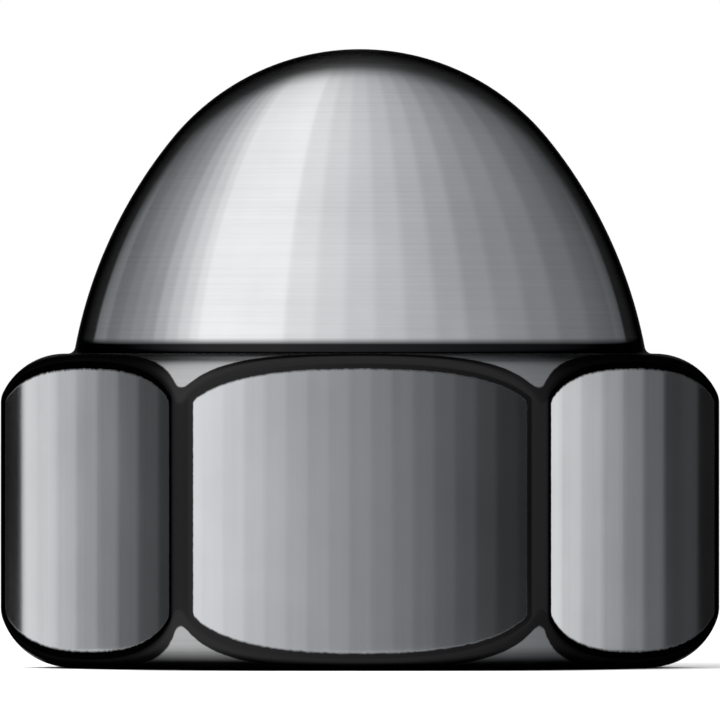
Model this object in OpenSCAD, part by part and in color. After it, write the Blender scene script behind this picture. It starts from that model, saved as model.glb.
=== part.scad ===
// Domed cap nut: one piece of hexagonal steel bar, turned to a rounded profile, drilled blind
// and threaded. +Z runs up through the dome, and the origin is the centre of the bearing face.
// The helical thread itself is not cut here: the bore has the wall that its tapping drill leaves.

/* [Hexagon] */
// Width across two opposite flats, where a wrench grips
flats_w = 17; // [15:0.1:20]
// Height of the hexagon, from the bearing face to the foot of the dome
hex_h = 8.5; // [6.5:0.1:11]
// How far each corner is turned back from the sharp hexagon, which leaves a narrow round land
corner_trim = 0.08; // [0.02:0.01:0.3]
// Height of the rounded shoulder at a corner, on the dome's side
shoulder_h = 1.2; // [0.6:0.05:1.5]
// Height of the rounded shoulder at a corner, on the bearing side
foot_h = 1.5; // [0.6:0.05:1.7]
// Distance from the flats in to the edge of the bearing face
bearing_inset = 0.66; // [0.3:0.02:1]

/* [Dome] */
// Distance from the flats in to the foot of the dome
dome_inset = 0.75; // [0.55:0.05:1.5]
// Height of the dome above the hexagon
dome_h = 8.25; // [6.5:0.05:10]
// Angle from the axis at which the ball-shaped crown passes into the fuller side
crown_angle = 51; // [40:1:60]
// How far the side leans inwards where it leaves the hexagon, in degrees
side_lean = 10; // [4:1:15]
// Width of the flat ring between the foot of the dome and the start of the shoulders
ledge_w = 0.24; // [0.2:0.02:0.4]
// Radius of the fillet round the foot of the dome
foot_fillet = 0.2; // [0.05:0.01:0.22]

/* [Bore] */
// Diameter that the tapping drill leaves for a 10 mm thread of 1.5 mm pitch
tap_d = 8.5; // [8:0.05:9]
// Diameter of the countersink in the bearing face
entry_d = 10.8; // [10:0.1:12]
// Included angle of the countersink
entry_angle = 120; // [90:5:120]
// Diameter of the relief groove, where the tap runs out
relief_d = 10.5; // [9.6:0.1:11]
// Width of the relief groove at the thread's diameter
relief_w = 2.6; // [2:0.1:3.5]
// Slope of the groove's two flanks, measured from a flat cross-section
relief_slope = 30; // [15:5:45]
// Included angle of the drill point that closes the bore
drill_angle = 118; // [100:1:140]
// Metal left between the drill point and the top of the dome
crown_wall = 2.7; // [1.5:0.1:4]

/* [Hidden] */
$fn = 128;

// How far a cutting shape reaches past the surface that it opens
past = 1;

// Hexagon and the turned collar that rounds its corners
sharp_corner_r = flats_w / 2 / cos(30);
corner_r = sharp_corner_r - corner_trim;
bearing_r = flats_w / 2 - bearing_inset;
dome_r = flats_w / 2 - dome_inset;
ledge_r = dome_r + ledge_w;
total_h = hex_h + dome_h;

// The dome's outline is two arcs that share a tangent at crown_angle. Their radii are the two
// numbers that bring the outline to dome_h on the axis and to dome_r at the foot.
foot_angle = 90 - side_lean;
side_rise = cos(crown_angle) - cos(foot_angle);
side_spread = sin(foot_angle) - sin(crown_angle);
crown_drop = 1 - cos(crown_angle);
arc_det = sin(crown_angle) * side_rise - crown_drop * side_spread;
crown_r = (dome_r * side_rise - dome_h * side_spread) / arc_det;
side_r = (dome_h * sin(crown_angle) - dome_r * crown_drop) / arc_det;

// Heights here start at the foot of the dome
crown_z = dome_h - crown_r;
join_z = crown_z + crown_r * cos(crown_angle);
side_centre = [(crown_r - side_r) * sin(crown_angle), crown_z + (crown_r - side_r) * cos(crown_angle)];

// The fillet's circle touches the ledge and, from outside, the arc of the side
fillet_x = side_centre.x + sqrt(pow(side_r + foot_fillet, 2) - pow(foot_fillet - side_centre.y, 2));
fillet_top = side_centre.y + (foot_fillet - side_centre.y) * side_r / (side_r + foot_fillet);

// Bore, worked out downwards from the metal that stays over it
tap_r = tap_d / 2;
entry_depth = (entry_d - tap_d) / 2 / tan(entry_angle / 2);
tip_z = total_h - crown_wall;
relief_top = tip_z - tap_r / tan(drill_angle / 2);
relief_flank = (relief_d - tap_d) / 2 * tan(relief_slope);
thread_end = relief_top - relief_w;

// Radius of an arc that leaves a straight line as its tangent and, over a given run, falls by drop
function landing_r(run, drop) = (run * run + drop * drop) / (2 * drop);

// Part of a disc that fills a rounded corner: it starts level at x = 0 and ends at run, drop lower
module round_end(run, drop) {
    r = landing_r(run, drop);
    translate([0, -r]) intersection() {
        circle(r);
        translate([0, r - drop]) square([run, drop]);
    }
}

// Half section of the collar, before the flats are there: a disc with rounded rims
module collar_section() {
    square([bearing_r, hex_h]);
    translate([0, foot_h]) square([ledge_r, hex_h - foot_h]);
    translate([0, foot_h]) square([corner_r, hex_h - foot_h - shoulder_h]);
    translate([ledge_r, hex_h]) round_end(corner_r - ledge_r, shoulder_h);
    translate([bearing_r, 0]) mirror([0, 1]) round_end(corner_r - bearing_r, foot_h);
}

// Half section of the dome: fillet, side and crown, each cut off level where the next one starts
module dome_section() {
    difference() {
        square([fillet_x, fillet_top]);
        translate([fillet_x, foot_fillet]) circle(foot_fillet);
    }
    intersection() {
        translate(side_centre) circle(side_r);
        translate([0, fillet_top]) square([dome_r, join_z - fillet_top]);
    }
    intersection() {
        translate([0, crown_z]) circle(crown_r);
        translate([0, join_z]) square([dome_r, dome_h - join_z]);
    }
}

// The space that the drill, the recessing tool and the countersink leave
module bore() {
    rotate_extrude()
        polygon([
            [0, -past],
            [entry_d / 2 + past * tan(entry_angle / 2), -past],
            [tap_r, entry_depth],
            [tap_r, thread_end],
            [relief_d / 2, thread_end + relief_flank],
            [relief_d / 2, relief_top - relief_flank],
            [tap_r, relief_top],
            [0, tip_z],
        ]);
}

// The bar's six flats, one of them square to -Y, cut the turned collar in rounded arcs
module cap_nut() {
    color([0.70, 0.71, 0.72])
    difference() {
        intersection() {
            rotate_extrude() {
                collar_section();
                translate([0, hex_h]) dome_section();
            }
            translate([0, 0, -past]) cylinder(r = sharp_corner_r, h = total_h + 2 * past, $fn = 6);
        }
        bore();
    }
}

cap_nut();
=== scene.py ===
# Domed cap nut in bright steel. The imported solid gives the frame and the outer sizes. One closed
# surface, worked out on a grid, stands for it with the thread, the worn edges and the finish.
import math

import bmesh
import bpy
import numpy as np
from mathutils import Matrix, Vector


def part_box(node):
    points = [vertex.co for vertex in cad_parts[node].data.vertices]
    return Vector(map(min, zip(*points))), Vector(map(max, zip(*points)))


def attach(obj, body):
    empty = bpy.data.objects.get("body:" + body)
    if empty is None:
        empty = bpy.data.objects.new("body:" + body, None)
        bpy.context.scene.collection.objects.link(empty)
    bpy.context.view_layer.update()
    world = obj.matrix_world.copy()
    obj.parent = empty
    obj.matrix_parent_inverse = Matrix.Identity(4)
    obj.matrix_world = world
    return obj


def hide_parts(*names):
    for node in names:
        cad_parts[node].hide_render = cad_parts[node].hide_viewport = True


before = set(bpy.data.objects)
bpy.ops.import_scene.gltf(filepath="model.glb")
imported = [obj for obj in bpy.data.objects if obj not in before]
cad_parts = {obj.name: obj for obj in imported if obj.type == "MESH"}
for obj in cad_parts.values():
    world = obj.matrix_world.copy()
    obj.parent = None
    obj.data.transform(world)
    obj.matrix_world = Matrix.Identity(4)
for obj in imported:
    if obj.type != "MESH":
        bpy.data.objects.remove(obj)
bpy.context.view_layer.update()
mm = 0.001
print("cap nut: packed solid loaded")

# Widths over corners and over flats and the total height, in mm, from the solid
low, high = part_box("cap_nut")
overCorners, overFlats, totalHeight = [(high[i] - low[i]) / mm for i in range(3)]

# Sizes in mm and angles in degrees. Those that the solid has too are the same there.
body = {
    "hexHeight": 8.5,
    "shoulderHeight": 1.2,      # rounded shoulder at a corner, on the dome's side
    "footHeight": 1.5,          # and on the bearing side
    "bearingInset": 0.66,       # from the flats in to the edge of the bearing face
    "domeInset": 0.75,          # from the flats in to the foot of the dome
    "crownAngle": 51.0,         # where the ball of the crown passes into the side
    "sideLean": 10.0,
    "ledgeWidth": 0.24,
    "footFillet": 0.2,
    "edgeBreak": 0.14,          # how far the edges of the flats are worn round, each way
    "skinReach": 0.36,          # how far the bar's dark skin reaches from those edges
    "cornerReach": 0.12,        # and from the rounded corners onto the flats
    "recessShadeReach": 0.42,          # and the painted shade in the recess, from the foot of the dome
    "weldReach": 0.0002,        # points closer than this become one
}
bore = {
    "tapWidth": 8.5,
    "threadWidth": 10.0,
    "pitch": 1.5,
    "rootShare": 1 / 16,        # half the flat at the thread's root, as a share of the pitch
    "entryWidth": 10.8,
    "entryAngle": 120.0,
    "entryBreak": 0.06,
    "reliefWidth": 10.5,
    "reliefLength": 2.6,
    "reliefSlope": 30.0,
    "edgeStep": 0.02,           # from the groove's edges to the rows that keep them crisp
    "grooveStep": 0.1,          # and to the first of the rows between
    "drillAngle": 118.0,
    "crownWall": 2.7,
}


# Sine, cosine and tangent of an angle in degrees
def sinOf(angle):
    return np.sin(np.radians(angle))


def cosOf(angle):
    return np.cos(np.radians(angle))


def tanOf(angle):
    return np.tan(np.radians(angle))


# Radius of the arc that leaves a line as its tangent and, over run, falls by drop
def landingRadius(run, drop):
    return (run ** 2 + drop ** 2) / (2 * drop)


# Points from start to end that crowd towards both ends: half a cosine wave, mixed with even steps
def easedSteps(start, end, count, crowding=0.6):
    even = np.linspace(0, 1, count)
    eased = (1 - np.cos(np.pi * even)) / 2
    return start + (end - start) * (crowding * eased + (1 - crowding) * even)


# The plan of the bar. Two neighbouring flats and a circle that touches both make each corner, and
# the circle's size follows from how far the corner reaches.
halfFlats = overFlats / 2
domeRadius = halfFlats - body["domeInset"]
bearingRadius = halfFlats - body["bearingInset"]
cornerRound = (halfFlats / cosOf(30) - overCorners / 2) / (1 / cosOf(30) - 1)
cornerCentre = overCorners / 2 - cornerRound
cornerEnd = math.degrees(math.atan2(cornerRound * sinOf(30), cornerCentre + cornerRound * cosOf(30)))


# Angles of the columns round the axis, in degrees from the middle of the front flat: for each
# sixth, steps along a flat with a support beside each end, then a corner in even turns of its face
def columnAngles(flatSteps=38, cornerTurns=8, support=0.2):
    turn = np.linspace(-30, 30, cornerTurns + 1)
    corner = 30 + np.degrees(np.arctan2(cornerRound * sinOf(turn),
                                        cornerCentre + cornerRound * cosOf(turn)))
    edge = 30 - cornerEnd - support
    sixth = np.concatenate([easedSteps(-edge, edge, flatSteps), corner])
    whole = np.concatenate([sixth + 60 * k for k in range(-3, 3)] + [[-180.0]])
    whole = (whole + 180) % 360 - 180
    return np.unique(np.round(np.append(whole, 180.0), 7))


# Distance from the axis to the side of the bar: halfFlats / cos on a flat, and on a corner the far
# crossing of the ray with the circle that rounds it
def barRadius(angle):
    local = (angle + 30) % 60 - 30
    off = 30 - np.abs(local)
    chord = np.sqrt(np.maximum(cornerRound ** 2 - (cornerCentre * sinOf(off)) ** 2, 0))
    return np.where(off < cornerEnd, cornerCentre * cosOf(off) + chord, halfFlats / cosOf(local))


# Rows of a turned surface: the same radius and height at every column
def turnedRows(radii, heights, columns):
    return np.outer(radii, np.ones(columns)), np.outer(heights, np.ones(columns))


# Rows of a worn edge: the quadratic curve from before to after that heads for the sharp edge. Each
# of the three is a pair of arrays with one value a column.
def wornRows(before, edge, after, count=7):
    u = np.linspace(0, 1, count)[:, None]
    return tuple((1 - u) ** 2 * before[i] + 2 * u * (1 - u) * edge[i] + u ** 2 * after[i]
                 for i in range(2))


# Rows of a rounded shoulder, in one plane through the axis at each column: an arc that starts level
# at startRadius and ends edgeBreak short of the bar's side. Returns the rows' radii, how far they
# have fallen, and how far the arc would have fallen at its sharp edge with the side.
def shoulderRows(startRadius, height, side, count=16):
    r = landingRadius(overCorners / 2 - startRadius, height)
    endAngle = np.arcsin((side - startRadius) / r)
    stop = endAngle - body["edgeBreak"] / r
    u = np.linspace(0, 1, count)[:, None]
    return startRadius + r * np.sin(u * stop), r * (1 - np.cos(u * stop)), r * (1 - np.cos(endAngle))


# Radius of the threaded bore over height and angle: a groove with 60 degrees between its flanks
# that climbs by one pitch a turn, cut into the tapping drill's bore down to a narrow flat at the
# thread's own radius
def threadRadius(height, angle):
    depth = (bore["threadWidth"] - bore["tapWidth"]) / 2
    flank = depth * tanOf(30)
    rootHalf = bore["pitch"] * bore["rootShare"]
    inTurn = (height / bore["pitch"] - angle / 360) % 1
    fromRoot = np.abs(inTurn - 0.5) * bore["pitch"]
    return bore["tapWidth"] / 2 + depth * np.clip((rootHalf + flank - fromRoot) / flank, 0, 1)


# Places of the rows within one turn of thread, as shares of the pitch: the middles of the root, the
# flanks and the crest, and a close pair at each edge between them, so that the edges stay crisp
def threadSteps(soft=0.012):
    flank = (bore["threadWidth"] - bore["tapWidth"]) / 2 * tanOf(30) / bore["pitch"]
    root = bore["rootShare"]
    half = np.array([0.0, root - soft, root + soft, root + flank / 2,
                     root + flank - soft, root + flank + soft])
    return np.unique(np.round(np.concatenate([0.5 - half, 0.5 + half, [0.0]]), 9))


# Rows of the bore from the countersink to the far end of the relief groove's near side. A row
# climbs with the thread by one pitch a turn and is held between bottom and top, so that each end is
# a level ring. The radius is the largest of thread, countersink and groove.
def threadRows(angle, bottom, top, entryRadius, grooveRadius):
    turns = np.arange(math.floor(bottom / bore["pitch"]) - 1, math.ceil(top / bore["pitch"]) + 1)
    start = (turns[:, None] + threadSteps()[None, :]).ravel() * bore["pitch"]
    height = np.clip(start[:, None] + bore["pitch"] * (angle / 360)[None, :], bottom, top)
    radius = np.maximum(threadRadius(height, angle[None, :]), entryRadius(height))
    return np.maximum(radius, grooveRadius(height)), height


# The dome, from its top: two arcs that share a tangent at crownAngle, whose radii solve the pair of
# equations for the dome's height and its foot's radius, and a small hollow arc into the ledge. Each
# band holds its rows' radii and heights, and its finish.
def domeBands(columns, crownRows=30, sideRows=26, filletRows=8):
    domeHeight = totalHeight - body["hexHeight"]
    first, last = body["crownAngle"], 90 - body["sideLean"]
    rise, spread, drop = cosOf(first) - cosOf(last), sinOf(last) - sinOf(first), 1 - cosOf(first)
    scale = sinOf(first) * rise - drop * spread
    crownR = (domeRadius * rise - domeHeight * spread) / scale
    sideR = (domeHeight * sinOf(first) - domeRadius * drop) / scale
    crownZ = totalHeight - crownR
    sideX, sideZ = (crownR - sideR) * sinOf(first), crownZ + (crownR - sideR) * cosOf(first)
    fillet = body["footFillet"]
    filletZ = body["hexHeight"] + fillet
    filletX = sideX + math.sqrt((sideR + fillet) ** 2 - (filletZ - sideZ) ** 2)
    footAngle = math.degrees(math.atan2(filletX - sideX, filletZ - sideZ))
    crownTurn = np.linspace(0, first, crownRows)
    sideTurn = np.linspace(first, footAngle, sideRows)[1:]
    filletTurn = np.linspace(footAngle + 180, 180, filletRows)[1:]
    bands = []
    for r, x, z, turn in ((crownR, 0, crownZ, crownTurn), (sideR, sideX, sideZ, sideTurn),
                          (fillet, filletX, filletZ, filletTurn)):
        bands.append((*turnedRows(x + r * sinOf(turn), z + r * cosOf(turn), columns), "dome"))
    return bands


# The bar below the dome. The shoulder's arc falls to the upper edge of the flats, they go straight
# down to the lower one, and the foot's arc passes from there into the bearing face. Both edges are
# worn round. Returns the bands and the heights of the two edges.
def barBands(side):
    hexHeight, wear = body["hexHeight"], body["edgeBreak"]
    topR, topFall, edgeFall = shoulderRows(domeRadius + body["ledgeWidth"],
                                           body["shoulderHeight"], side)
    topEdge = hexHeight - edgeFall
    topWorn = wornRows((topR[-1], hexHeight - topFall[-1]), (side, topEdge), (side, topEdge - wear))
    footR, footRise, footEdge = shoulderRows(bearingRadius, body["footHeight"], side)
    footWorn = wornRows((side, footEdge + wear), (side, footEdge), (footR[-1], footRise[-1]))
    # Rows of the flats, as shares of the way down, with close ones beside both edges
    down = np.concatenate([[0.01], np.linspace(0.05, 0.95, 12), [0.99, 1.0]])[:, None]
    flatHeights = topEdge - wear + down * (footEdge + 2 * wear - topEdge)
    return [(topR, hexHeight - topFall, "shoulder"),
            (topWorn[0][1:], topWorn[1][1:], "shoulder"),
            (np.outer(np.ones(len(down)), side), flatHeights, "flats"),
            (footWorn[0][1:], footWorn[1][1:], "shoulder"),
            (footR[::-1][1:], footRise[::-1][1:], "shoulder")], topEdge, footEdge


# Bearing face, countersink with its broken edge, thread, relief groove and the drill's cone: straight
# lines turned round the axis, with the helix of the thread between them
def boreBands(angle, faceRows=9, coneRows=12):
    columns = len(angle)
    flat = np.ones(columns)
    entryR, tapR, reliefR = [bore[width] / 2 for width in ("entryWidth", "tapWidth", "reliefWidth")]
    slope = tanOf(bore["entryAngle"] / 2)
    rake = tanOf(bore["reliefSlope"])
    drill = tanOf(bore["drillAngle"] / 2)
    broken = bore["entryBreak"]
    entryStart = broken / math.hypot(1, slope)
    reliefTop = totalHeight - bore["crownWall"] - tapR / drill
    threadEnd = reliefTop - bore["reliefLength"]
    grooveRun = (reliefR - tapR) * rake

    # Radius at a height: the countersink narrows by its slope, and the groove's near side widens
    # by its rake
    def entryRadius(height):
        return entryR - height * slope

    def grooveRadius(height):
        return tapR + (height - threadEnd) / rake

    faceR = np.linspace(bearingRadius, entryR + broken, faceRows)[1:]
    entryWorn = wornRows(((entryR + broken) * flat, 0 * flat), (entryR * flat, 0 * flat),
                         (entryRadius(entryStart) * flat, entryStart * flat), count=5)
    near, far = bore["edgeStep"], bore["grooveStep"]
    bottom, top = threadEnd + grooveRun, reliefTop - grooveRun
    grooveZ = np.array([bottom + near, *np.linspace(bottom + far, top - far, 4), top - near, top,
                        top + near, reliefTop - near, reliefTop])
    grooveR = np.minimum(reliefR, tapR + (reliefTop - grooveZ) / rake)
    # Rows of the cone, as shares of its radius, with a close one beside the groove
    coneR = np.concatenate([[0.995], np.linspace(0.96, 0, coneRows)]) * tapR
    return [(*turnedRows(faceR, 0 * faceR, columns), "bearing"),
            (entryWorn[0][1:], entryWorn[1][1:], "bearing"),
            (*threadRows(angle, entryStart, bottom, entryRadius, grooveRadius), "thread"),
            (*turnedRows(grooveR, grooveZ, columns), "thread"),
            (*turnedRows(coneR, reliefTop + (tapR - coneR) / drill, columns), "thread")]


finishes = ["dome", "shoulder", "flats", "bearing", "thread"]


# Puts the grid into one mesh: x = r sin(angle), y = -r cos(angle), and a face between each two
# rows and columns. Merging the doubles closes the seam, the two poles and the ends of the thread.
def nutMesh():
    angle = columnAngles()
    side = barRadius(angle)
    sideBands, topEdge, footEdge = barBands(side)
    bands = domeBands(len(angle)) + sideBands + boreBands(angle)
    radius = np.concatenate([band[0] for band in bands])
    height = np.concatenate([band[1] for band in bands])
    finish = np.concatenate([np.full(len(band[0]), finishes.index(band[2])) for band in bands])
    rows, columns = radius.shape
    points = np.stack([radius * sinOf(angle), -radius * cosOf(angle), height], axis=-1) * mm

    # Place across the turned rings: radius less height, and their sum on the foot
    onShoulder = (finish == finishes.index("shoulder"))[:, None]
    onFlats = (finish == finishes.index("flats"))[:, None]
    onFoot = onShoulder & (height < body["hexHeight"] / 2)
    across = np.where(onFoot, radius + height, radius - height)

    # How near a point is to an edge or corner of the flats and to the recess round the dome: 1 there,
    # and less by a bell curve of the distance. Along a flat, cornerReach stands for skinReach.
    toArc = np.minimum(np.hypot(radius - side, height - topEdge),
                       np.hypot(radius - side, height - footEdge))
    fromCorner = np.radians(30 - np.abs((angle + 30) % 60 - 30)) * halfFlats
    toCorner = np.maximum(fromCorner - np.radians(cornerEnd) * halfFlats, 0)
    toCorner = toCorner * body["skinReach"] / body["cornerReach"]
    toEdge = np.where(onFlats, np.minimum(toArc, toCorner[None, :]), toArc)
    edge = np.where(onShoulder | onFlats, np.exp(-(toEdge / body["skinReach"]) ** 2), 0)
    # Nearness to the recess round the foot of the dome, where the steel gets painted shade
    toFoot = np.hypot(radius - domeRadius, height - body["hexHeight"])
    recess = np.exp(-(toFoot / body["recessShadeReach"]) ** 2)

    index = np.arange(rows * columns).reshape(rows, columns)
    faces = np.stack([index[:-1, :-1], index[1:, :-1], index[1:, 1:], index[:-1, 1:]], axis=-1)
    mesh = bpy.data.meshes.new("capNut")
    mesh.from_pydata(points.reshape(-1, 3), [], faces.reshape(-1, 4))
    mesh.polygons.foreach_set("material_index", np.repeat(finish[1:], columns - 1).astype(np.int32))
    for name, values in (("across", across), ("edge", edge), ("recess", recess)):
        layer = mesh.attributes.new(name, "FLOAT", "POINT")
        layer.data.foreach_set("value", values.ravel().astype(np.float32))
    edit = bmesh.new()
    edit.from_mesh(mesh)
    bmesh.ops.remove_doubles(edit, verts=edit.verts, dist=body["weldReach"] * mm)
    bmesh.ops.recalc_face_normals(edit, faces=edit.faces)
    edit.to_mesh(mesh)
    edit.free()
    mesh.shade_smooth()
    return mesh


capNut = bpy.data.objects.new("capNut", nutMesh())
bpy.context.scene.collection.objects.link(capNut)
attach(capNut, "root")
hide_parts("cap_nut")
print("cap nut: surface made,", len(capNut.data.polygons), "faces")


# A node with its settings and its inputs: a socket is linked, anything else is set as it is
def addNode(tree, kind, inputs=None, **settings):
    node = tree.nodes.new(kind)
    for key, value in settings.items():
        setattr(node, key, value)
    for key, value in (inputs or {}).items():
        if isinstance(value, bpy.types.NodeSocket):
            tree.links.new(value, node.inputs[key])
        else:
            node.inputs[key].default_value = value
    return node


# One step of arithmetic on one, two or three values
def calc(tree, operation, *values):
    return addNode(tree, "ShaderNodeMath", dict(enumerate(values)), operation=operation).outputs[0]


# A value moved from one range to another in proportion, and held at its ends
def ranged(tree, value, source, target=(0.0, 1.0)):
    return addNode(tree, "ShaderNodeMapRange", {
        "Value": value, "From Min": source[0], "From Max": source[1],
        "To Min": target[0], "To Max": target[1]}).outputs[0]


# Smooth noise at a point, in features a metre
def noise(tree, vector, scale=1.0, detail=2.0, roughness=0.5):
    return addNode(tree, "ShaderNodeTexNoise", {"Vector": vector, "Scale": scale, "Detail": detail,
                                                "Roughness": roughness}).outputs[0]


# A colour between two others by a factor: inputs 6 and 7 of the mix take them, output 2 gives it
def shade(tree, factor, before, after):
    return addNode(tree, "ShaderNodeMix", {0: factor, 6: before, 7: after}, data_type="RGBA").outputs[2]


# An even grey, as a colour input takes it
def grey(tone):
    return (tone, tone, tone, 1)


steel = {
    "light": (0.795, 0.80, 0.807),
    "dark": (0.665, 0.67, 0.677),
    "rim": (0.0, 0.0, 0.0),             # what the metal keeps of a reflection at a grazing angle
    "noiseRange": (0.3, 0.7),           # the values that a noise mostly has
    "smudges": 300.0,                   # features a metre of the low smudges in the polish
    "roundStretch": 120.0,              # and of a tool's lines along its path, round the axis
    "barStretch": 40.0,                 # or up the bar
    "roughSpread": 0.15,                # share by which smudges, and lines, change the roughness
    "gleamTurn": 0.25,                  # of a full turn, so that a gleam is drawn across the lines
    "scratchTurn": (0.5, 0.9, 0.7),     # how the scratches lie, in radians,
    "scratchScale": (2600.0, 150.0, 900.0),     # and their features a metre along their own axes
    "scratchWidth": 0.006,              # in values of their noise
    "scratchPatches": (0.5, 0.62),      # smudges between which they come in
    "skin": (0.032, 0.031, 0.032),      # the bar's dark skin, left in edges and rounded corners
    "skinFade": (0.38, 0.5),            # nearness to an edge over which it comes in
    "ragged": 0.12,                     # how far fine spots shift that nearness
    "spots": 6000.0,                    # features a metre of those spots
    "recessShade": (0.02, 0.02, 0.021),      # painted shade, near black, in the recess round the foot of the dome
    "recessShadeFade": (0.35, 0.7),            # nearness to the recess over which it comes in
    "dulling": 0.12,                    # roughness that skin and the painted recess shade add
}
# How each finish differs: brightness, roughness, how far a gleam is drawn out across the tool's
# lines, the lines a mm, how deep they are in m, how far they and the scratches show, and whether
# the lines run along the bar or round it
finishLook = {
    "dome": {"tone": 1.0, "roughness": 0.11, "drawn": 0.8, "lines": 9.0, "depth": 8e-8,
             "contrast": 0.4, "scratches": 0.4, "upright": False},
    "shoulder": {"tone": 0.6, "roughness": 0.2, "drawn": 0.5, "lines": 8.0, "depth": 1.5e-7,
                 "contrast": 0.65, "scratches": 0.6, "upright": False},
    "flats": {"tone": 1.05, "roughness": 0.026, "drawn": 0.0, "lines": 2.4, "depth": 6e-8,
              "contrast": 0.4, "scratches": 0.06, "upright": True},
    "bearing": {"tone": 0.85, "roughness": 0.22, "drawn": 0.5, "lines": 7.0, "depth": 4e-7,
                "contrast": 0.65, "scratches": 0.8, "upright": False},
    "thread": {"tone": 0.75, "roughness": 0.28, "drawn": 0.3, "lines": 9.0, "depth": 4e-7,
               "contrast": 0.65, "scratches": 0.8, "upright": False},
}


# The lines that a tool leaves: noise that is stretched along the tool's path, up the bar or round it
def toolLines(tree, place, across, look):
    if look["upright"]:
        stretch = (look["lines"] / mm, look["lines"] / mm, steel["barStretch"])
        vector = addNode(tree, "ShaderNodeVectorMath", {0: place, 1: stretch},
                         operation="MULTIPLY").outputs[0]
    else:
        parts = addNode(tree, "ShaderNodeSeparateXYZ", {0: place}).outputs
        vector = addNode(tree, "ShaderNodeCombineXYZ", {
            "X": calc(tree, "MULTIPLY", parts["X"], steel["roundStretch"]),
            "Y": calc(tree, "MULTIPLY", parts["Y"], steel["roundStretch"]),
            "Z": calc(tree, "MULTIPLY", across, look["lines"])}).outputs[0]
    return noise(tree, vector, detail=4.0, roughness=0.62)


# Scratches: thin bands of a stretched noise about its middle value, broken up by the smudges
def scratchLines(tree, place, smudge):
    turned = addNode(tree, "ShaderNodeMapping", {
        "Vector": place, "Rotation": steel["scratchTurn"], "Scale": steel["scratchScale"]}).outputs[0]
    fromMiddle = calc(tree, "ABSOLUTE", calc(tree, "SUBTRACT", noise(tree, turned, detail=1.0), 0.5))
    return calc(tree, "MULTIPLY", ranged(tree, fromMiddle, (0.0, steel["scratchWidth"]), (1.0, 0.0)),
                ranged(tree, smudge, steel["scratchPatches"]))


# Steel with the marks of one tool: a light and a dark metal mixed by lines and smudges, then the dark
# skin along the edges and painted shade in the recess laid over it, with scratches in the relief
def steelMaterial(name, look):
    material = bpy.data.materials.new(name + "Steel")
    material.use_nodes = True
    tree = material.node_tree
    tree.nodes.clear()
    place = addNode(tree, "ShaderNodeTexCoord").outputs["Object"]
    across, edge, recess = [addNode(tree, "ShaderNodeAttribute", attribute_name=key).outputs["Fac"]
                            for key in ("across", "edge", "recess")]
    lines = toolLines(tree, place, across, look)
    smudge = noise(tree, place, steel["smudges"], detail=3.0)
    spots = noise(tree, place, steel["spots"])
    scratch = scratchLines(tree, place, smudge)

    light = [look["tone"] * part for part in steel["light"]] + [1]
    dark = [look["tone"] * part for part in steel["dark"]] + [1]
    tone = calc(tree, "ADD", calc(tree, "MULTIPLY", lines, look["contrast"]),
                calc(tree, "MULTIPLY", smudge, 1.0 - look["contrast"]))
    colour = shade(tree, ranged(tree, tone, steel["noiseRange"]), dark, light)
    shift = calc(tree, "MULTIPLY", calc(tree, "SUBTRACT", spots, 0.5), steel["ragged"])
    skin = ranged(tree, calc(tree, "ADD", edge, shift), steel["skinFade"])
    colour = shade(tree, skin, colour, (*steel["skin"], 1))
    # Painted shade: near black laid over the steel in the recess round the foot of the dome
    recessShade = ranged(tree, recess, steel["recessShadeFade"])
    colour = shade(tree, recessShade, colour, (*steel["recessShade"], 1))

    middle = look["roughness"]
    spread = steel["roughSpread"] * middle
    smudged = ranged(tree, smudge, steel["noiseRange"], (middle - spread, middle + spread))
    rough = calc(tree, "ADD", smudged, ranged(tree, lines, steel["noiseRange"], (-spread, spread)))
    dulled = calc(tree, "MULTIPLY", calc(tree, "ADD", skin, recessShade), steel["dulling"])
    relief = calc(tree, "SUBTRACT", lines, calc(tree, "MULTIPLY", scratch, look["scratches"]))
    bump = addNode(tree, "ShaderNodeBump", {"Height": relief, "Distance": look["depth"],
                                            "Strength": 1.0}).outputs[0]
    tangent = addNode(tree, "ShaderNodeTangent", direction_type="RADIAL", axis="Z").outputs[0]
    shader = addNode(tree, "ShaderNodeBsdfPrincipled", {
        "Base Color": colour, "Metallic": 1.0, "Roughness": calc(tree, "ADD", rough, dulled),
        "Normal": bump, "Tangent": tangent, "Anisotropic": look["drawn"],
        "Anisotropic Rotation": steel["gleamTurn"], "Specular Tint": (*steel["rim"], 1)})
    addNode(tree, "ShaderNodeOutputMaterial", {"Surface": shader.outputs[0]})
    return material


for name in finishes:
    capNut.data.materials.append(steelMaterial(name, finishLook[name]))
print("cap nut: finishes made")


# Camera square to the front flat at the nut's middle height, with a long lens as in a side view
view = {
    "lens": 1400.0,
    "sensor": 36.0,
    "frameWidth": 19.51 * mm,       # what 720 pixels span at the nut's axis
    "height": 8.325 * mm,
}
distance = view["frameWidth"] * view["lens"] / view["sensor"]
camera = bpy.data.objects.new("camera", bpy.data.cameras.new("camera"))
camera.data.lens = view["lens"]
camera.data.sensor_width = view["sensor"]
camera.location = (0, -distance, view["height"])
camera.rotation_euler = (math.radians(90), 0, 0)
camera.data.clip_start, camera.data.clip_end = distance / 10, distance * 10
bpy.context.scene.collection.objects.link(camera)
bpy.context.scene.camera = camera
print("cap nut: camera set")

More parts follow.
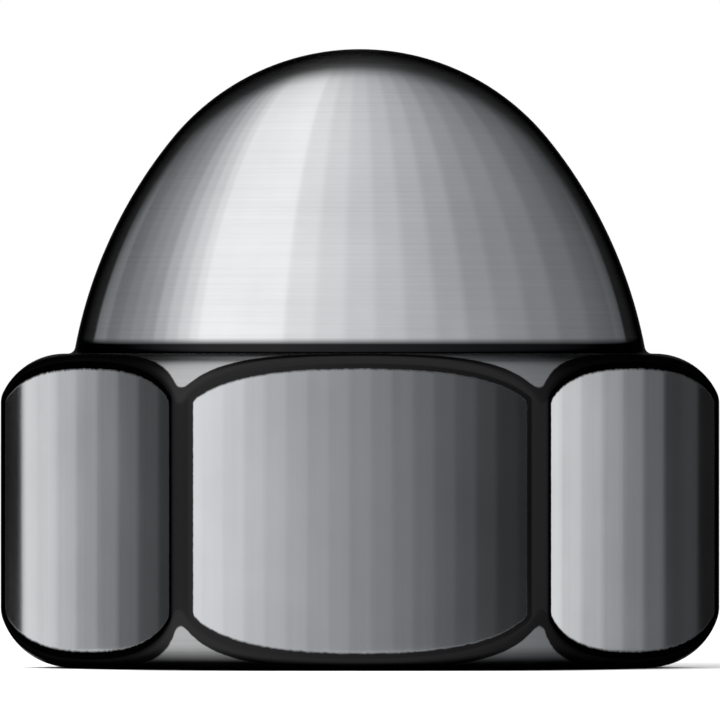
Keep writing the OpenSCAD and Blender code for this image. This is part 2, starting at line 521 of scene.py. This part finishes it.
# The studio: a pale floor, a tent of light round the nut and a low ring of cards close to it
studio = {
    "floorRadius": 2000 * mm,
    "floorRings": (0.001, 0.01, 0.1, 1.0),      # shares of it
    "floorDrop": 0.01 * mm,     # how far it lies under the bearing face
    "floorTone": 0.85,
    "background": 1.0,
    "softLight": 1.2,           # even light that falls on the floor
    "tentLight": 1.15,
    "cool": (0.96, 1.0, 1.06),  # what the darkest tones are multiplied by, and lighter ones less
    "panelWidth": 0.108,        # how much of half the dome's width a panel of the tent fills
    "finePanel": 0.0415,        # and one of the finer panels past the places fineLeft and fineRight
    "fineLeft": -0.57,
    "fineRight": 0.9,
    "panelSeam": 0.25,          # share of a panel over which it passes into the next
    "shadeReach": 8.6 * mm,     # how far the nut shades the floor that gloss meets
    "shadeFade": 0.8 * mm,
    "cardRadius": 54 * mm,
    "cardHeight": 9 * mm,
    "cardLight": 1.25,
    "sideGain": 1.22,           # how much more the two side cards give, as slanted flats dull them
    "stripWidth": 0.6 * mm,     # of the cards' strips
    "stripSeam": 0.15,          # share of a strip over which it passes into the next
    "cardGap": 0.42,            # tone between the cards
    "cardFade": 0.6,            # and degrees over which a card passes into it
    "borderInside": 0.9,        # degrees of black at the outer ends of the side cards, on the flat
    "borderOutside": 1.6,       # and past its end
    "borderTone": 0.012,
    "rearTone": 0.05,           # of the black oval behind the nut, which darkens its outline
    "rearWidth": 0.62,          # how far it reaches to a side and up, as sines of an angle
    "rearHeight": 0.8,
    "rearEdge": (0.86, 1.06),   # shares of that reach between which it ends
}
# Tones that gloss meets: in the tent by the place across a ball on which they are seen, on the floor
# by the bearing from the front, and on a card from its light end to its dark one
tentTones = [(-1.0, 0.0), (-0.95, 0.02), (-0.93, 0.4), (-0.9, 0.25), (-0.87, 0.22), (-0.75, 0.34),
             (-0.6, 0.78), (-0.55, 0.97), (-0.29, 1.0), (-0.25, 0.88), (-0.12, 0.75), (0.0, 0.65),
             (0.15, 0.54), (0.3, 0.43), (0.45, 0.32), (0.6, 0.26), (0.75, 0.19), (0.87, 0.15),
             (0.93, 0.2), (0.95, 0.02), (1.0, 0.0)]
floorTones = [(-180, 0.45), (-120, 0.85), (-40, 1.0), (0, 0.6), (40, 0.30), (100, 0.20), (180, 0.45)]
cardTones = [(-0.12, 0.76), (0.12, 0.61), (0.3, 0.37), (0.45, 0.27), (0.62, 0.16), (0.74, 0.095),
             (0.82, 0.04), (1.12, 0.0)]


# Tones at given places between low and high, with even changes from each to the next. The darker a
# tone, the cooler it is: each part is multiplied by its tint, mixed with 1 by the tone.
def toneRamp(tree, place, tones, low, high, interpolation="LINEAR"):
    ramp = addNode(tree, "ShaderNodeValToRGB", {"Fac": ranged(tree, place, (low, high))})
    ramp.color_ramp.interpolation = interpolation
    elements = ramp.color_ramp.elements
    elements.remove(elements[1])
    for i, (at, tone) in enumerate(tones):
        share = (at - low) / (high - low)
        element = elements.new(share) if i else elements[0]
        element.position = share
        element.color = [tone * (tint + (1 - tint) * tone) for tint in studio["cool"]] + [1]
    return ramp.outputs["Color"]


# A value that is held over panels of one width and moves on at their seams: the share of the next
# panel is the position in this one, stretched about its middle and held between 0 and 1
def panelled(tree, value, width, seam):
    count = calc(tree, "DIVIDE", value, width)
    inside = calc(tree, "FRACT", count)
    passed = ranged(tree, inside, (0.5 - seam / 2, 0.5 + seam / 2))
    whole = calc(tree, "ADD", calc(tree, "FLOOR", count), passed)
    return calc(tree, "MULTIPLY", whole, width)


# One of two shaders by a factor
def mixed(tree, factor, before, after):
    return addNode(tree, "ShaderNodeMixShader", {0: factor, 1: before, 2: after}).outputs[0]


# A material that gives light but isn't sought out as a lamp, so that each kind of ray meets the
# tone meant for it. Its nodes are still to be made.
def glowMaterial(name):
    material = bpy.data.materials.new(name)
    material.use_nodes = True
    material.node_tree.nodes.clear()
    material.cycles.emission_sampling = "NONE"
    return material, material.node_tree


# The bearing of a point of the studio round the nut, in degrees from the front to the right
def bearingOf(tree):
    place = addNode(tree, "ShaderNodeTexCoord").outputs["Object"]
    parts = addNode(tree, "ShaderNodeSeparateXYZ", {0: place}).outputs
    bearing = calc(tree, "ARCTAN2", parts["X"], calc(tree, "MULTIPLY", parts["Y"], -1.0))
    return calc(tree, "DEGREES", bearing)


# Rings round the axis at the given radii and heights, joined to each other as one sheet, with a
# face inside the first where it is to be filled
def ringSheet(name, radii, heights, filled=False, spokes=180):
    turn = np.linspace(0, 2 * np.pi, spokes + 1)[:-1]
    points = np.stack([np.outer(radii, np.cos(turn)), np.outer(radii, np.sin(turn)),
                       np.outer(heights, np.ones(spokes))], axis=-1).reshape(-1, 3)
    index = np.arange(len(points)).reshape(len(radii), spokes)
    after = np.roll(index, -1, axis=1)
    faces = np.stack([index[:-1], index[1:], after[1:], after[:-1]], axis=-1).reshape(-1, 4)
    mesh = bpy.data.meshes.new(name)
    mesh.from_pydata(points, [], faces.tolist() + filled * [index[0].tolist()])
    sheet = bpy.data.objects.new(name, mesh)
    bpy.context.scene.collection.objects.link(sheet)
    return sheet


# The floor: matt and pale, and for gloss a glow by bearing that goes dark in the nut's shade
floorRadii = np.array(studio["floorRings"]) * studio["floorRadius"]
floor = ringSheet("floor", floorRadii, np.full(len(floorRadii), -studio["floorDrop"]), filled=True)
material, tree = glowMaterial("paleFloor")
floorColour = toneRamp(tree, bearingOf(tree), floorTones, -180, 180, "EASE")
place = addNode(tree, "ShaderNodeTexCoord").outputs["Object"]
fromAxis = addNode(tree, "ShaderNodeVectorMath", {0: place}, operation="LENGTH").outputs["Value"]
shadeEnd = studio["shadeReach"] + studio["shadeFade"]
openness = ranged(tree, fromAxis, (studio["shadeReach"], shadeEnd))
glow = addNode(tree, "ShaderNodeEmission", {"Color": floorColour, "Strength": openness})
pale = addNode(tree, "ShaderNodeBsdfPrincipled", {"Base Color": grey(studio["floorTone"]),
                                                  "Roughness": 0.9})
glossy = addNode(tree, "ShaderNodeLightPath").outputs["Is Glossy Ray"]
addNode(tree, "ShaderNodeOutputMaterial",
        {"Surface": mixed(tree, glossy, pale.outputs[0], glow.outputs[0])})
floor.data.materials.append(material)

# World: white for the camera, even for the floor, and for gloss a tent whose panels fan out
# from behind the nut. Their place is x / hypot(x, 1 - y) of the direction, which is how far to the
# side a ball shows them, so on the dome each panel runs up to the top as a band.
world = bpy.data.worlds.new("studio")
bpy.context.scene.world = world
world.use_nodes = True
world.cycles.sampling_method = "NONE"
tree = world.node_tree
tree.nodes.clear()
direction = addNode(tree, "ShaderNodeTexCoord").outputs["Generated"]
aim = addNode(tree, "ShaderNodeSeparateXYZ", {0: direction}).outputs
seenAcross = calc(tree, "SINE", calc(tree, "ARCTAN2", aim["X"], calc(tree, "SUBTRACT", 1.0, aim["Y"])))
fine = calc(tree, "MAXIMUM", calc(tree, "LESS_THAN", seenAcross, studio["fineLeft"]),
            calc(tree, "GREATER_THAN", seenAcross, studio["fineRight"]))
panelWidth = ranged(tree, fine, (0.0, 1.0), (studio["panelWidth"], studio["finePanel"]))
tentPlace = panelled(tree, seenAcross, panelWidth, studio["panelSeam"])
tentColour = toneRamp(tree, tentPlace, tentTones, -1, 1)

# The black oval: the share of its reach at which a direction lies, on the side away from the front
oval = addNode(tree, "ShaderNodeCombineXYZ", {
    "X": calc(tree, "DIVIDE", aim["X"], studio["rearWidth"]),
    "Y": calc(tree, "DIVIDE", aim["Z"], studio["rearHeight"])}).outputs[0]
ovalReach = addNode(tree, "ShaderNodeVectorMath", {0: oval}, operation="LENGTH").outputs["Value"]
behind = calc(tree, "GREATER_THAN", aim["Y"], 0.0)
rear = calc(tree, "MULTIPLY", ranged(tree, ovalReach, studio["rearEdge"], (1.0, 0.0)), behind)
tentColour = shade(tree, rear, tentColour, grey(studio["rearTone"]))

paths = addNode(tree, "ShaderNodeLightPath").outputs
soft = addNode(tree, "ShaderNodeBackground", {"Color": grey(1.0), "Strength": studio["softLight"]})
tent = addNode(tree, "ShaderNodeBackground", {"Color": tentColour, "Strength": studio["tentLight"]})
seen = addNode(tree, "ShaderNodeBackground", {"Color": grey(1.0), "Strength": studio["background"]})
lit = mixed(tree, paths["Is Glossy Ray"], soft.outputs[0], tent.outputs[0])
addNode(tree, "ShaderNodeOutputWorld",
        {"Surface": mixed(tree, paths["Is Camera Ray"], lit, seen.outputs[0])})

# The ring of cards, which only gloss sees. Each flat that faces the camera meets one card, which
# passes from light to dark. Its ends lie where the two edges of that flat throw the view, and one
# opening further for each quarter of the nut's width that the edge is off the middle: the camera's
# ray to a point a quarter out slants by that angle.
sideThrow = 120                 # bearing to which a side flat throws the view
inner, outer = [math.degrees(math.asin(reach * mm / studio["cardRadius"]))
                for reach in (overCorners / 4, overCorners / 2)]
opening = math.degrees(overCorners / 4 * mm / distance)
outerEnd = sideThrow - inner + 2 * opening
borderStart, borderEnd = outerEnd - studio["borderInside"], outerEnd + studio["borderOutside"]
cardEnds = [(-borderStart, outer - sideThrow - opening, studio["sideGain"]),
            (-inner - opening, inner + opening, 1.0),
            (sideThrow - outer + opening, borderStart, studio["sideGain"])]
cardStops = []
for start, end, gain in cardEnds:
    card = [(start + share * (end - start), gain * tone) for share, tone in cardTones]
    before, after = card[0][0] - studio["cardFade"], card[-1][0] + studio["cardFade"]
    cardStops += [(before, studio["cardGap"]), *card, (after, studio["cardGap"])]

cards = ringSheet("cards", np.full(2, studio["cardRadius"]), np.array([0.0, studio["cardHeight"]]))
for kind in ("camera", "diffuse", "shadow", "transmission"):
    setattr(cards, "visible_" + kind, False)
material, tree = glowMaterial("cardTones")
bearing = bearingOf(tree)
stripDegrees = math.degrees(studio["stripWidth"] / studio["cardRadius"])
cardPlace = panelled(tree, bearing, stripDegrees, studio["stripSeam"])
cardColour = toneRamp(tree, cardPlace, cardStops, -180, 180)
border = calc(tree, "COMPARE", calc(tree, "ABSOLUTE", bearing),
              (borderStart + borderEnd) / 2, (borderEnd - borderStart) / 2)
cardColour = shade(tree, border, cardColour, grey(studio["borderTone"]))
glow = addNode(tree, "ShaderNodeEmission", {"Color": cardColour, "Strength": studio["cardLight"]})
addNode(tree, "ShaderNodeOutputMaterial", {"Surface": glow.outputs[0]})
cards.data.materials.append(material)

# A soft key from the upper left for the shadow on the floor
softKey = {
    "power": 0.6,
    "size": 120 * mm,
    "place": (-110 * mm, -130 * mm, 190 * mm),
    "turn": (42, 0, -40),           # in degrees
}
keyLight = bpy.data.objects.new("softKey", bpy.data.lights.new("softKey", "AREA"))
keyLight.data.shape = "DISK"
keyLight.data.size = softKey["size"]
keyLight.data.energy = softKey["power"]
keyLight.location = softKey["place"]
keyLight.rotation_euler = [math.radians(turn) for turn in softKey["turn"]]
keyLight.visible_glossy = False
bpy.context.scene.collection.objects.link(keyLight)
bpy.context.scene.view_settings.view_transform = "Standard"
print("cap nut: studio made")
